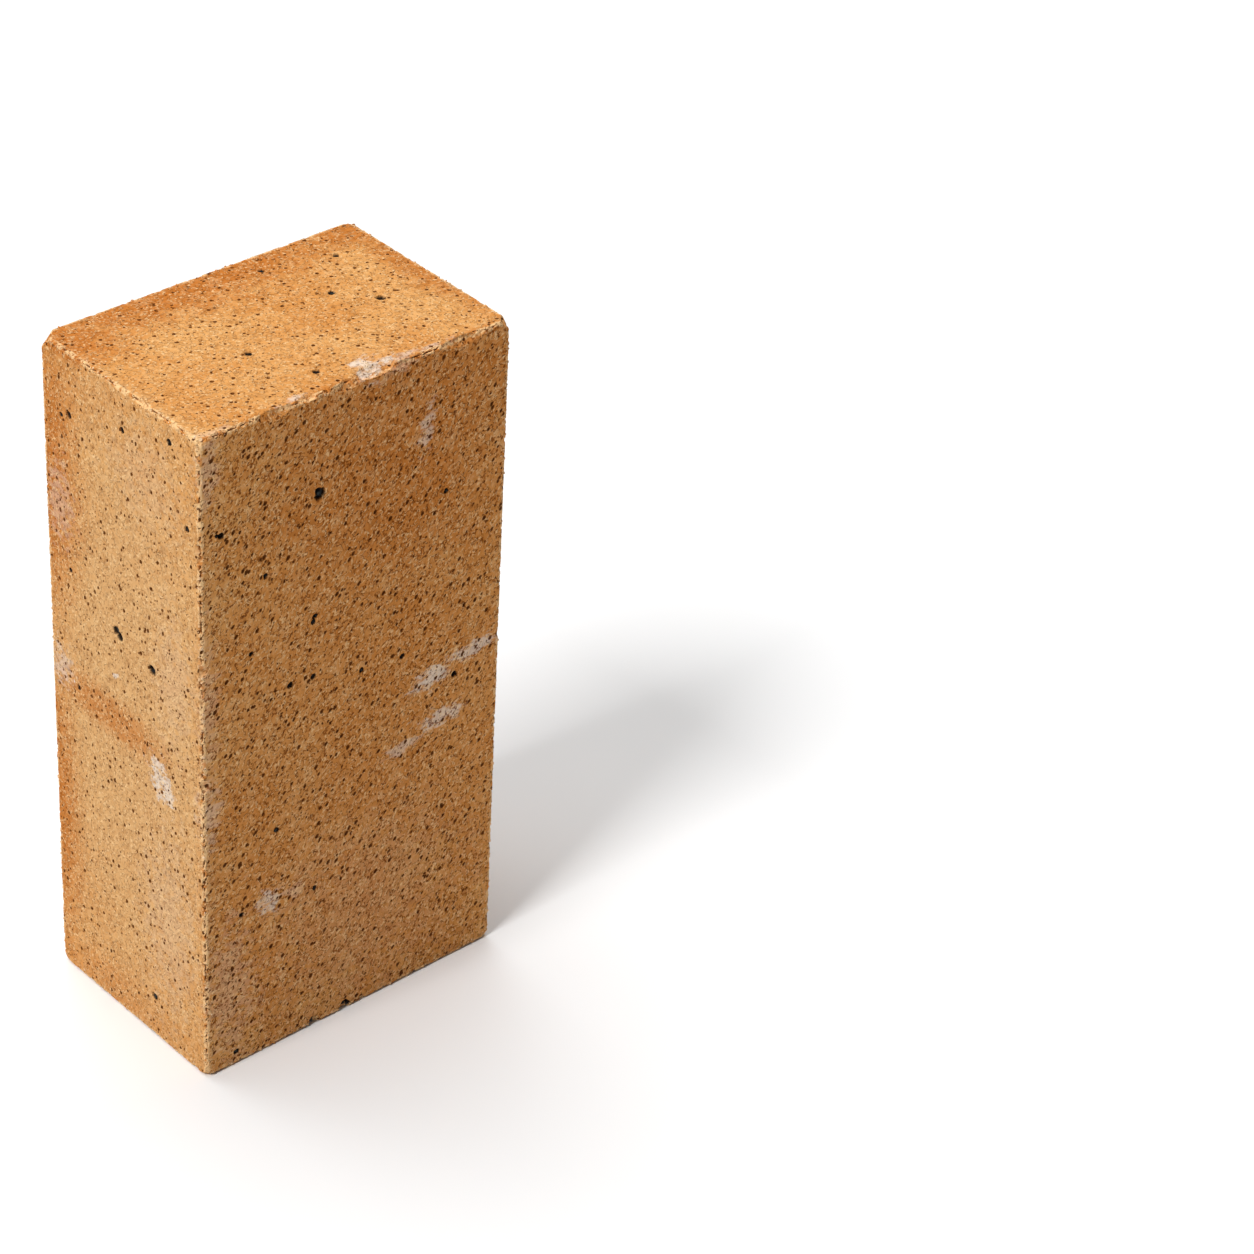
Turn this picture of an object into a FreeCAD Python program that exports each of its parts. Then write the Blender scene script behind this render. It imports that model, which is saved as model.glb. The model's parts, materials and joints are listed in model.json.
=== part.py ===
"""Refractory firebrick, a plain "straight" of 230 x 114 x 76 mm, standing on its end.

One piece of pressed and fired clay. Millimetres, +Z up. The origin is the centre of the end
face that it stands on. X runs across the 114 mm width, Y through the 76 mm thickness and
Z along the 230 mm length. The bed faces look along -Y and +Y, the side faces along -X and +X.

The block is pressed square. Handling then wears it: every arris loses a narrow bevel, every
corner a rounder cap, and a few arrises and corners have lost chips of their own.
"""
import FreeCAD
import Part
import Sketcher

import os

NODE = "firebrick"

# The pressed block and its even wear, as alias: (value, what it is).
BLOCK_SIZES = {
    "brick_width": (114, "across the bed faces, along X"),
    "brick_thickness": (76, "from bed face to bed face, along Y"),
    "brick_length": (230, "from end to end, along Z"),
    "arris_wear": (0.5, "what every arris has lost, measured square across it"),
    "corner_wear": (1.7, "what every corner has lost, measured along its diagonal"),
}

# Each chipped arris, with the axis that it runs along and the two faces that meet there.
ARRISES = {
    "top_front": {"along": "x", "faces": {"top": ("z", 1), "front": ("y", -1)}},
    "top_left": {"along": "y", "faces": {"top": ("z", 1), "left": ("x", -1)}},
    "front_left": {"along": "z", "faces": {"front": ("y", -1), "left": ("x", -1)}},
    "foot_front": {"along": "x", "faces": {"foot": ("z", -1), "front": ("y", -1)}},
}

# The chips on them. The middle of each lies inset from one end of its arris, the high end
# (1) or the low end (-1). Then come its length along the arris, how far it reaches over each
# of the two faces, and the radius of its hollow. A chip that reaches furthest down the front
# leaves a steep scar, and one that reaches furthest over the top a flat, upward one. A pit
# has no length of its own, because a ball leaves it round.
CHIPS = {
    "top_front": {
        "west_flake": {"end": -1, "inset": 27, "length": 16, "top": 1.7, "front": 3.2, "hollow": 9},
        "scrape": {"end": -1, "inset": 39, "length": 9, "top": 2.6, "front": 1.3, "hollow": 7},
        "middle_flake": {"end": -1, "inset": 53, "length": 13, "top": 1.7, "front": 3, "hollow": 8},
        "spall": {"end": 1, "inset": 50, "length": 17, "top": 5.5, "front": 1.8, "hollow": 13},
        "facet": {"end": 1, "inset": 41, "length": 15, "top": 1.2, "front": 3, "hollow": 11},
        "east_flake": {"end": 1, "inset": 18, "length": 20, "top": 1.8, "front": 3, "hollow": 9},
    },
    "top_left": {
        "side_flake": {"end": -1, "inset": 27, "length": 9, "top": 1.6, "left": 1.9, "hollow": 6},
    },
    "front_left": {
        "pit": {"end": 1, "inset": 40, "front": 1.4, "left": 1.4, "hollow": 1.7},
        "upper_notch": {"end": 1, "inset": 78, "front": 2.6, "left": 1.5, "hollow": 2.1},
        "lower_notch": {"end": 1, "inset": 89, "front": 1.3, "left": 1.4, "hollow": 1.6},
        "split": {"end": -1, "inset": 111, "front": 2.6, "left": 1.6, "hollow": 3},
    },
    "foot_front": {
        "foot_nick": {"end": -1, "inset": 42, "foot": 1.5, "front": 2.4, "hollow": 2.4},
        "foot_notch": {"end": -1, "inset": 54, "foot": 1.4, "front": 2.1, "hollow": 2},
    },
}

# Corners that were knocked off: the side of the brick that each is on, along every axis,
# how far the chip reaches down each of its three arrises, and the radius of its hollow.
CORNER_CHIPS = {
    "left_corner": {"sides": {"x": -1, "y": 1, "z": 1}, "reach": 5, "hollow": 30},
    "right_corner": {"sides": {"x": 1, "y": -1, "z": 1}, "reach": 4.2, "hollow": 18},
}

UNIT = {
    "x": FreeCAD.Vector(1, 0, 0),
    "y": FreeCAD.Vector(0, 1, 0),
    "z": FreeCAD.Vector(0, 0, 1),
}


def size(alias):
    """How an expression reads a cell of the sheet."""
    return f"Sizes.{alias}"


def face_place(axis, side):
    """Where the pressed block's face on that side of that axis lies, as an expression."""
    if axis == "z":
        return size("brick_length") if side > 0 else "0"
    across = {"x": "brick_width", "y": "brick_thickness"}[axis]
    return f"{side} * {size(across)} / 2"


def make_sheet(doc):
    """The spreadsheet with every driving dimension, one row for each."""
    rows = dict(BLOCK_SIZES)
    for arris, chips in CHIPS.items():
        for name, chip in chips.items():
            rows[f"{name}_inset"] = (chip["inset"], f"from the end of its arris to the {name}")
            if "length" in chip:
                rows[f"{name}_length"] = (chip["length"], f"of the {name}, along its arris")
            for face in ARRISES[arris]["faces"]:
                rows[f"{name}_{face}"] = (chip[face], f"reach of the {name} over the {face}")
            rows[f"{name}_hollow"] = (chip["hollow"], f"radius of the {name}'s hollow")
    for name, chip in CORNER_CHIPS.items():
        rows[f"{name}_reach"] = (chip["reach"], f"of the {name} chip, down its arrises")
        rows[f"{name}_hollow"] = (chip["hollow"], f"radius of the {name} chip's hollow")
    sheet = doc.addObject("Spreadsheet::Sheet", "Sizes")
    for row, (alias, (value, meaning)) in enumerate(rows.items(), start=1):
        sheet.set(f"A{row}", meaning)
        sheet.set(f"B{row}", str(value))
        sheet.setAlias(f"B{row}", alias)
    doc.recompute()


def draw_rectangle(sketch, across_x, across_y):
    """A rectangle centred on the sketch's origin, fully constrained, its sizes expressions."""
    corners = [FreeCAD.Vector(x, y, 0) for x, y in ((-2, -1), (2, -1), (2, 1), (-2, 1))]
    for here, there in zip(corners, corners[1:] + corners[:1]):
        sketch.addGeometry(Part.LineSegment(here, there), False)
    for line in range(4):
        sketch.addConstraint(Sketcher.Constraint("Coincident", line, 2, (line + 1) % 4, 1))
    for line, way in enumerate(("Horizontal", "Vertical", "Horizontal", "Vertical")):
        sketch.addConstraint(Sketcher.Constraint(way, line))
    sketch.addConstraint(Sketcher.Constraint("Symmetric", 0, 1, 2, 1, -1, 1))
    for name, way, line, expression in (
        ("across_x", "DistanceX", 0, across_x),
        ("across_y", "DistanceY", 1, across_y),
    ):
        index = sketch.addConstraint(Sketcher.Constraint(way, line, 1, line, 2, 1.0))
        sketch.renameConstraint(index, name)
        sketch.setExpression(f"Constraints.{name}", expression)


def add_block(doc, body, margin):
    """A square-edged block in that body, a margin larger than the brick on every side."""
    plane = next(f for f in body.Origin.OriginFeatures if f.Role == "XY_Plane")
    outline = body.newObject("Sketcher::SketchObject", f"{body.Name}Outline")
    outline.AttachmentSupport = (plane, [""])
    outline.MapMode = "FlatFace"
    outline.setExpression(".AttachmentOffset.Base.z", f"-({margin})")
    draw_rectangle(
        outline,
        f"{size('brick_width')} + 2 * ({margin})",
        f"{size('brick_thickness')} + 2 * ({margin})",
    )
    doc.recompute()
    block = body.newObject("PartDesign::Pad", f"{body.Name}Block")
    block.Profile = outline
    block.setExpression("Length", f"{size('brick_length')} + 2 * ({margin})")
    doc.recompute()
    return block


def wear_envelope():
    """Radius and margin of the rounded block that wears the brick, as two expressions.

    The envelope stands proud of the faces and leaves them flat. Its rounded edges cut a
    narrow bevel off each arris and its ball-shaped corners a rounder cap off each corner.
    A radius R and a margin M cut R(sqrt2 - 1) - M sqrt2 off an arris and R(sqrt3 - 1) -
    M sqrt3 off a corner. The two lines below solve that pair for R and M.
    """
    arris, corner = size("arris_wear"), size("corner_wear")
    radius = f"({corner} - sqrt(1.5) * {arris}) / (sqrt(3) - 1 - (sqrt(2) - 1) * sqrt(1.5))"
    margin = f"(({radius}) * (sqrt(2) - 1) - {arris}) / sqrt(2)"
    return radius, margin


def wear_down(doc, brick):
    """Wears every arris and corner: the brick keeps what it has in common with an envelope."""
    radius, margin = wear_envelope()
    envelope = doc.addObject("PartDesign::Body", "Envelope")
    block = add_block(doc, envelope, margin)
    rounding = envelope.newObject("PartDesign::Fillet", "EnvelopeRounding")
    rounding.Base = (block, ["Edge1"])
    rounding.UseAllEdges = True
    rounding.setExpression("Radius", radius)
    doc.recompute()
    worn = brick.newObject("PartDesign::Boolean", "WornBlock")
    worn.Type = "Common"
    worn.setObjects([envelope])
    doc.recompute()


def outward_from(sides):
    """The direction that leads straight out of the brick from where those sides meet."""
    direction = FreeCAD.Vector()
    for axis, side in sides.items():
        direction += UNIT[axis] * side
    return direction


def scoop_out(doc, brick, kind, name, radii, place, poles, outward):
    """Cuts a ball or an ellipsoid out of the brick.

    Its poles lie along one direction and its seam faces outward, so that the hollow which
    it leaves holds neither of them and stays one smooth face.
    """
    before = brick.Shape.Volume
    scoop = brick.newObject(f"PartDesign::Subtractive{kind}", name)
    turn = FreeCAD.Rotation(outward, FreeCAD.Vector(), poles, "ZXY")
    scoop.Placement = FreeCAD.Placement(FreeCAD.Vector(), turn)
    for radius, expression in radii.items():
        scoop.setExpression(radius, expression)
    for axis, position in place.items():
        scoop.setExpression(f".Placement.Base.{axis}", position)
    doc.recompute()
    if brick.Shape.Volume >= before:
        raise RuntimeError(f"{name} cut nothing")


def chip_arris(doc, brick, arris, name, chip):
    """A shell-shaped chip off an arris, or a round pit where the chip has no length.

    Square across the arris, its hollow is an arc that starts on one face and ends on the
    other, each at the chip's reach. The ball or ellipsoid is centred on that arc's centre.
    """
    along, hollow = arris["along"], size(f"{name}_hollow")
    (first, first_face), (second, second_face) = arris["faces"].items()
    first_reach, second_reach = size(f"{name}_{first}"), size(f"{name}_{second}")
    rise = f"sqrt({hollow}^2 / ({first_reach}^2 + {second_reach}^2) - 0.25)"
    place = {along: f"{face_place(along, chip['end'])} - {chip['end']} * {size(f'{name}_inset')}"}
    for (axis, side), over, down in (
        (first_face, first_reach, second_reach),
        (second_face, second_reach, first_reach),
    ):
        place[axis] = f"{face_place(axis, side)} + {side} * ({over} * {rise} - {down} / 2)"
    if "length" in chip:
        narrowing = f"sqrt(2 * {first_reach} * {second_reach} * {rise}) / {hollow}"
        lengthways = f"{size(f'{name}_length')} / 2 / ({narrowing})"
        kind, radii = "Ellipsoid", {"Radius1": lengthways, "Radius2": hollow, "Radius3": hollow}
    else:
        kind, radii = "Sphere", {"Radius": hollow}
    outward = outward_from(dict((first_face, second_face)))
    scoop_out(doc, brick, kind, name, radii, place, UNIT[along], outward)


def chip_corner(doc, brick, name, chip):
    """A ball-shaped hollow that takes a corner off, as far down all three of its arrises."""
    hollow, reach = size(f"{name}_hollow"), size(f"{name}_reach")
    standoff = f"(sqrt(3 * {hollow}^2 - 2 * {reach}^2) - {reach}) / 3"
    place = {
        axis: f"{face_place(axis, side)} + {side} * {standoff}"
        for axis, side in chip["sides"].items()
    }
    outward = outward_from(chip["sides"])
    poles = outward.cross(UNIT["z"])
    scoop_out(doc, brick, "Sphere", name, {"Radius": hollow}, place, poles, outward)


def check(doc, brick):
    """Stops before anything is written if a feature failed or the brick isn't one solid."""
    failed = [o.Label for o in doc.Objects if {"Invalid", "Error"} & set(o.State)]
    if failed:
        raise RuntimeError(f"these features failed: {failed}")
    shape = brick.Shape
    if shape.isNull() or not shape.isValid() or len(shape.Solids) != 1:
        raise RuntimeError("the brick is not one valid solid")


def main():
    doc = FreeCAD.newDocument("Firebrick")
    make_sheet(doc)
    brick = doc.addObject("PartDesign::Body", "Brick")
    brick.Label = NODE
    add_block(doc, brick, margin="0")
    wear_down(doc, brick)
    for arris, chips in CHIPS.items():
        for name, chip in chips.items():
            chip_arris(doc, brick, ARRISES[arris], name, chip)
    for name, chip in CORNER_CHIPS.items():
        chip_corner(doc, brick, name, chip)
    check(doc, brick)

    os.makedirs("parts", exist_ok=True)
    brick.Shape.exportStep(f"parts/{NODE}.step")
    box = brick.Shape.optimalBoundingBox(False)
    print(f"{NODE}: {box.XLength:.2f} x {box.YLength:.2f} x {box.ZLength:.2f} mm")
    print(f"volume {brick.Shape.Volume / 1e6:.4f} litres, {len(brick.Shape.Faces)} faces")


main()
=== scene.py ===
# %% [markdown]
# # Dressing a refractory firebrick
#
# The brick is a plain block of fired clay, 230 x 114 x 76 mm, standing on its end. The CAD
# model gives its exact size, its worn arrises and its larger chips. This notebook adds what
# a hand and an eye find on the real one: open pores, crumbling edges, grains of old broken
# brick (grog) in the clay, dark spots of melted iron ore, pale smears of mortar dust and the
# orange bloom of the kiln.
#
# Everything is in metres, in the frame of the CAD model. The origin is the middle of the end
# that the brick stands on, X runs across its width, Y through its thickness and Z up.

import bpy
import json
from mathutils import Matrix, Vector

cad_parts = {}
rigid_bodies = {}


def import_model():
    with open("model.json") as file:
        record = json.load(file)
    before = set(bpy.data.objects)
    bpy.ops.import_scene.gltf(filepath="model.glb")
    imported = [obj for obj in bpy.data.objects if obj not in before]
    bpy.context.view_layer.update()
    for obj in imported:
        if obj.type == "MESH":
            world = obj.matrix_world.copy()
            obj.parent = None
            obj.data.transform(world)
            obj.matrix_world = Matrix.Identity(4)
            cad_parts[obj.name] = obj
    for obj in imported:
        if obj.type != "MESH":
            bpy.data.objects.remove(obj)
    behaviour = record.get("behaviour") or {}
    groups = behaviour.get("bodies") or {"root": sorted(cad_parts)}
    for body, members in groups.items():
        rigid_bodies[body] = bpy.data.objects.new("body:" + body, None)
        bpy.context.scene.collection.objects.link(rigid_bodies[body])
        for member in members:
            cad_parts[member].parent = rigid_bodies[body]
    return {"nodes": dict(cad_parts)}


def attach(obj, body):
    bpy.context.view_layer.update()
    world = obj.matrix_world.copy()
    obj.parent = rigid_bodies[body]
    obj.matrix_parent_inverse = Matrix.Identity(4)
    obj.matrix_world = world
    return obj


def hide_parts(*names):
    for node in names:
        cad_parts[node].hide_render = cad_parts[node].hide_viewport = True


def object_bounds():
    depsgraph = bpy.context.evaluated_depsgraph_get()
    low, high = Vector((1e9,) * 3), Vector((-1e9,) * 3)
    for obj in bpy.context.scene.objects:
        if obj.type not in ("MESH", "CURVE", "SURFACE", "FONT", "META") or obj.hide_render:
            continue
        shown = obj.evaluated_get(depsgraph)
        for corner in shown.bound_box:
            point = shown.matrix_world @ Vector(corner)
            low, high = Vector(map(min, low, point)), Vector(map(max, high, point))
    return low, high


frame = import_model()
cad_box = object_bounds()
low, high = cad_box
print("CAD box in millimetres:", [round(1000 * side, 2) for side in high - low])

# %% [markdown]
# ## Tools and units
#
# The module bpy reaches everything that Blender's window shows, bmesh edits a mesh point by
# point, and mathutils brings vectors and turns. A brick is measured in millimetres and Blender
# works in metres, so one name, MM, turns the one into the other wherever a size is written.

# %% Blender's own tools
import json
import math
import random

import bmesh
import bpy
from mathutils import Matrix, Vector

MM = 0.001
print("one millimetre is", MM, "m in Blender", bpy.app.version_string)

# %% [markdown]
# ## The camera
#
# A long lens from above and to the left shows the top, the broad bed face and the narrow side
# face. The numbers come from fitting a pinhole camera to the brick's six outline corners. The
# camera is built from three plain turns, as a tripod head makes them: tilt it down, swing it
# round, and let it lean a little about its own line of sight.

# %% Set up the camera
CAMERA_PLACE = Vector((-610.3, -789.5, 800.1)) * MM
CAMERA_SWING = math.radians(-43.818)
CAMERA_TILT = math.radians(33.954)
CAMERA_LEAN = math.radians(3.403)
LENS = 113.12
SENSOR = 36.0


def add_camera():
    """Sets up the camera at the photograph's viewing angle."""
    lens = bpy.data.cameras.new("camera")
    lens.sensor_width = SENSOR
    lens.lens = LENS
    camera = bpy.data.objects.new("camera", lens)
    turn = (
        Matrix.Rotation(CAMERA_SWING, 4, "Z")
        @ Matrix.Rotation(math.pi / 2 - CAMERA_TILT, 4, "X")
        @ Matrix.Rotation(CAMERA_LEAN, 4, "Z")
    )
    camera.matrix_world = Matrix.Translation(CAMERA_PLACE) @ turn
    bpy.context.scene.collection.objects.link(camera)
    bpy.context.scene.camera = camera


add_camera()
print("camera", round((CAMERA_PLACE - (low + high) / 2).length, 3), "m from the brick's middle")

# %% [markdown]
# ## A short way to write node trees
#
# Shader trees and Geometry Nodes trees hold many of the same nodes. These helpers add a node
# and fill its inputs in one line: an input takes a plain value or another node's output. The
# same pattern function can then build its nodes in either kind of tree, which is what keeps
# the colour of a pore exactly over its hollow.

# %% Helpers for node trees


def fill(socket, value):
    """Links an output to an input, or sets the input's own value."""
    if isinstance(value, bpy.types.NodeSocket):
        socket.id_data.links.new(value, socket)
    else:
        socket.default_value = value


def add(tree, kind, inputs=None, **settings):
    """Adds a node with those settings and fills its inputs, by name or by number."""
    node = tree.nodes.new(kind)
    for name, value in settings.items():
        setattr(node, name, value)
    for name, value in (inputs or {}).items():
        fill(node.inputs[name], value)
    return node


def calc(tree, operation, *values):
    """One step of arithmetic on numbers."""
    return add(tree, "ShaderNodeMath", dict(enumerate(values)), operation=operation).outputs[0]


def vector(tree, operation, *values):
    """One step of arithmetic on vectors."""
    node = add(tree, "ShaderNodeVectorMath", dict(enumerate(values)), operation=operation)
    return node.outputs["Value" if operation in {"LENGTH", "DISTANCE"} else "Vector"]


def scaled(tree, value, factor):
    """A vector times a number."""
    node = add(tree, "ShaderNodeVectorMath", {0: value, "Scale": factor}, operation="SCALE")
    return node.outputs["Vector"]


def ease(tree, value, start, end, low_value=0.0, high_value=1.0):
    """Eases from one value to another while the input goes from start to end."""
    inputs = {0: value, 1: start, 2: end, 3: low_value, 4: high_value}
    return add(tree, "ShaderNodeMapRange", inputs, interpolation_type="SMOOTHSTEP").outputs[0]


def noise(tree, place, size, detail=2.0, roughness=0.5):
    """Soft noise from 0 to 1 whose blotches are about that size, in the units of place."""
    scale = calc(tree, "DIVIDE", 1.0, size)
    inputs = {"Vector": place, "Scale": scale, "Detail": detail, "Roughness": roughness}
    return add(tree, "ShaderNodeTexNoise", inputs).outputs[0]


def new_tree(name, kind, inputs, outputs):
    """A node group, what it is given and what it results in.

    Inputs are name: (socket type, default) and outputs name: socket type.
    """
    tree = bpy.data.node_groups.new(name, kind)
    for title, (socket, default) in inputs.items():
        made = tree.interface.new_socket(title, in_out="INPUT", socket_type=f"NodeSocket{socket}")
        if default is not None:
            made.default_value = default
    for title, socket in outputs.items():
        tree.interface.new_socket(title, in_out="OUTPUT", socket_type=f"NodeSocket{socket}")
    return tree, add(tree, "NodeGroupInput").outputs, add(tree, "NodeGroupOutput").inputs


print("tree helpers ready")

# %% [markdown]
# ## Pores
#
# Water and burnt-out sawdust leave small gas bubbles in the clay. Where the surface happens to
# cut one, it shows as a dark hole. Voronoi noise is built the same way: it scatters points
# through space, and its distance output tells how far the nearest one is. A surface that
# passes within a radius of the point gets a pore, so the sizes vary by themselves as they do on
# a real pressed face. Each point also gets a random radius of its own. The clay was thrown in
# the mould askew and pressed, so bubbles and grains are all drawn out one way through the brick.
# The two large bed faces, which the press never rubbed, have the wider pores.

# %% Cells, luck and pores, for either kind of tree
CLAY_FLOW = Vector((1.0, -0.5, 1.3))
DRAWN_OUT = 1.5
# Spacing, smallest and largest radius, in millimetres.
LARGE_PORES = (1.9, 0.15, 0.68)
SMALL_PORES = (1.25, 0.08, 0.3)
# The higher this is, the fewer pores come near the largest radius.
PORE_RARITY = 1.6
# A place counts as on a bed face between these two distances from the brick's middle, and
# pores are wider there by this share.
BED_REACH = (36.6, 37.7)
BED_GAIN = 0.1


def along_flow(tree, place, longer):
    """Places in which every pattern comes out that much longer along the clay's flow."""
    turn = {"Vector": place, "Rotation": CLAY_FLOW.to_track_quat("X", "Z").to_euler()}
    turned = add(tree, "ShaderNodeVectorRotate", turn, rotation_type="EULER_XYZ", invert=True)
    return vector(tree, "DIVIDE", turned.outputs[0], (longer, 1.0, 1.0))


def cells(tree, place, size):
    """Voronoi cells of that size, in the units of place."""
    inputs = {"Vector": scaled(tree, place, 1.0 / size), "Scale": 1.0, "Randomness": 1.0}
    return add(tree, "ShaderNodeTexVoronoi", inputs, voronoi_dimensions="3D", feature="F1")


def luck_of(tree, bubbles):
    """A random number from 0 to 1 for each cell.

    The cell's own colour is the number that placed its point, so it is scrambled once more.
    """
    scramble = {"Vector": bubbles.outputs["Color"]}
    return add(tree, "ShaderNodeTexWhiteNoise", scramble, noise_dimensions="3D").outputs["Value"]


def bent(tree, place, size, amount):
    """Shifts every place a little at random, so that straight edges come out ragged."""
    swirl = add(tree, "ShaderNodeTexNoise", {"Vector": place, "Scale": 1.0 / size, "Detail": 1.0})
    shift = vector(tree, "SUBTRACT", swirl.outputs["Color"], (0.5, 0.5, 0.5))
    return vector(tree, "MULTIPLY_ADD", shift, (amount, amount, amount), place)


def on_bed(tree, place):
    """1 on the two large bed faces and 0 elsewhere."""
    across = add(tree, "ShaderNodeSeparateXYZ", {0: place}).outputs["Y"]
    return ease(tree, calc(tree, "ABSOLUTE", across), *BED_REACH)


def pore_pattern(tree, place, spacing, smallest, largest):
    """How deep in a pore a point lies: 0 on its rim and less outside, 1 at its middle."""
    bubbles = cells(tree, along_flow(tree, place, DRAWN_OUT), spacing)
    rare = calc(tree, "POWER", luck_of(tree, bubbles), PORE_RARITY)
    radius = calc(tree, "MULTIPLY_ADD", rare, (largest - smallest) / spacing, smallest / spacing)
    wider = calc(tree, "MULTIPLY_ADD", on_bed(tree, place), BED_GAIN, 1.0)
    nearness = calc(tree, "DIVIDE", bubbles.outputs["Distance"], calc(tree, "MULTIPLY", radius, wider))
    return calc(tree, "SUBTRACT", 1.0, nearness)


print("large pores up to", 2 * LARGE_PORES[2], "mm wide, small ones up to", 2 * SMALL_PORES[2])

# %% [markdown]
# ## Hollows placed one by one
#
# A few larger hollows are where they are on this brick and nowhere else. They are dark because
# a grain of iron ore melted in the fire and ran. They are kept as a mesh of loose points, each
# with a radius and the direction into the brick. A long hollow is a row of two. The nicks in an
# arris are the same with no iron in them, so the points also say which hollows it lines.
# The faces that the camera doesn't see get theirs from a seeded draw.

# %% The hollows that the eye finds first
FRONT, LEFT, TOP, FOOT = "front", "left", "top", "foot"
INTO_BRICK = {
    FRONT: Vector((0, 1, 0)),
    LEFT: Vector((1, 0, 0)),
    TOP: Vector((0, 0, -1)),
    "back": Vector((0, -1, 0)),
    "right": Vector((-1, 0, 0)),
    FOOT: Vector((0, 0, 1)),
}
# On each face: place along the face's two free axes and radius, in millimetres.
HOLLOWS = {
    FRONT: [
        (-13.7, 196.5, 2.3), (-14.6, 197.8, 1.2), (-49.1, 195.8, 1.4), (-50.7, 196.3, 0.8),
        (33.8, 179.1, 1.1), (-33.5, 176.0, 1.1), (-15.9, 153.0, 1.1), (-15.3, 154.6, 1.1),
        (-15.8, 133.6, 1.1), (-24.4, 134.0, 1.3), (39.1, 110.9, 1.3), (18.2, 126.4, 1.1),
        (-29.6, 83.1, 1.1), (-42.9, 57.2, 1.1), (-14.9, 54.0, 1.0), (-45.2, 4.8, 1.2),
        (-38.7, 151.1, 1.0), (2.4, 128.0, 1.0), (-15.4, 2.0, 1.5), (-2.6, 2.2, 1.7),
        (-1.4, 1.6, 1.2),
    ],
    LEFT: [
        (4.0, 144.5, 1.8), (2.3, 143.3, 1.7), (-13.5, 139.8, 1.9), (-11.3, 15.6, 1.6),
        (-1.6, 216.0, 1.2), (-24.0, 222.9, 1.3), (-31.8, 198.1, 1.1), (26.4, 154.0, 1.0),
        (24.6, 208.4, 1.3), (28.6, 206.8, 1.0), (24.3, 112.9, 1.1),
    ],
    TOP: [
        (34.5, -5.0, 1.7), (24.8, 6.0, 1.3), (39.8, 23.0, 1.2), (16.3, 29.0, 1.1),
        (-16.2, -7.7, 1.2), (-7.2, -27.2, 1.2),
    ],
}
# Nicks along the near arris, the foot and the top that hold no iron.
NICKS = {
    LEFT: [
        (-37.2, 219.5, 0.8), (-37.3, 207.0, 0.9), (-37.0, 193.8, 1.7), (-37.4, 181.0, 0.8),
        (-37.4, 176.0, 0.8), (-37.4, 168.5, 0.7), (-37.0, 155.7, 1.5), (-36.4, 147.5, 1.3),
        (-37.4, 145.2, 1.0), (-37.4, 133.7, 1.0), (-37.3, 129.1, 1.0), (-37.0, 115.0, 1.2),
        (-37.4, 96.0, 0.9), (-37.3, 83.0, 1.0), (-37.4, 61.0, 0.9), (-37.2, 44.0, 1.0),
        (-37.4, 27.0, 0.8),
    ],
    FRONT: [(4.2, 1.4, 1.2)],
    TOP: [(-31.0, -37.2, 1.0), (44.0, -37.2, 1.0), (-3.0, -36.6, 1.3)],
}
MARKS_ELSEWHERE = 28
MARK_SEED = 7
# The unseen faces take turns, and their hollows lie within these reaches, in millimetres.
UNSEEN = ("back", "right", "back", FOOT)
FIRST_REACH = {"back": (-52, 52), "right": (-33, 33), FOOT: (-52, 52)}
SECOND_REACH = {"back": (6, 224), "right": (6, 224), FOOT: (-33, 33)}
# The smallest radius of a drawn hollow, and the most that its luck adds.
DRAWN_RADIUS = (0.8, 1.3)
# A hollow's rim is bent by lumps of the first size, as far as the second, in millimetres.
RAGGED_RIM = (1.1, 0.9)
# A hollow is a bowl: full depth inside the first share of its radius, none at the second.
BOWL = (0.45, 1.0)


def on_face(face, first, second):
    """The point of a face at those two places along its free axes, in metres."""
    if face in (FRONT, "back"):
        return Vector((first * MM, low.y if face == FRONT else high.y, second * MM))
    if face in (LEFT, "right"):
        return Vector((low.x if face == LEFT else high.x, first * MM, second * MM))
    return Vector((first * MM, second * MM, high.z if face == TOP else low.z))


def placed(hollows):
    """Each hollow's point on the brick in metres, its face and its radius in millimetres."""
    return [(on_face(face, a, b), face, radius) for face in hollows for a, b, radius in hollows[face]]


def iron_hollows():
    """The placed hollows, and seeded ones on the faces that the picture doesn't show."""
    draw = random.Random(MARK_SEED)
    spots = placed(HOLLOWS)
    smallest, more = DRAWN_RADIUS
    for count in range(MARKS_ELSEWHERE):
        face = UNSEEN[count % len(UNSEEN)]
        a = draw.uniform(*FIRST_REACH[face])
        b = draw.uniform(*SECOND_REACH[face])
        spots.append((on_face(face, a, b), face, smallest + more * draw.random() ** 3))
    return spots


def make_marks(spots, lined):
    """A mesh of loose points with each hollow's radius, its way in and whether iron lines it."""
    mesh = bpy.data.meshes.new("hollow_marks")
    mesh.from_pydata([place for place, face, radius in spots], [], [])
    radii = [radius * MM for place, face, radius in spots]
    ways = [axis for place, face, radius in spots for axis in INTO_BRICK[face]]
    irons = [count < lined for count in range(len(spots))]
    for name, kind, slot, values in (
        ("hollow_radius", "FLOAT", "value", radii),
        ("way_in", "FLOAT_VECTOR", "vector", ways),
        ("has_iron", "BOOLEAN", "value", irons),
    ):
        mesh.attributes.new(name, kind, "POINT").data.foreach_set(slot, values)
    return bpy.data.objects.new("hollow_marks", mesh)


with_iron = iron_hollows()
marks = make_marks(with_iron + placed(NICKS), len(with_iron))
bpy.context.scene.collection.objects.link(marks)
print(len(marks.data.vertices), "hollows marked")
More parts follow.
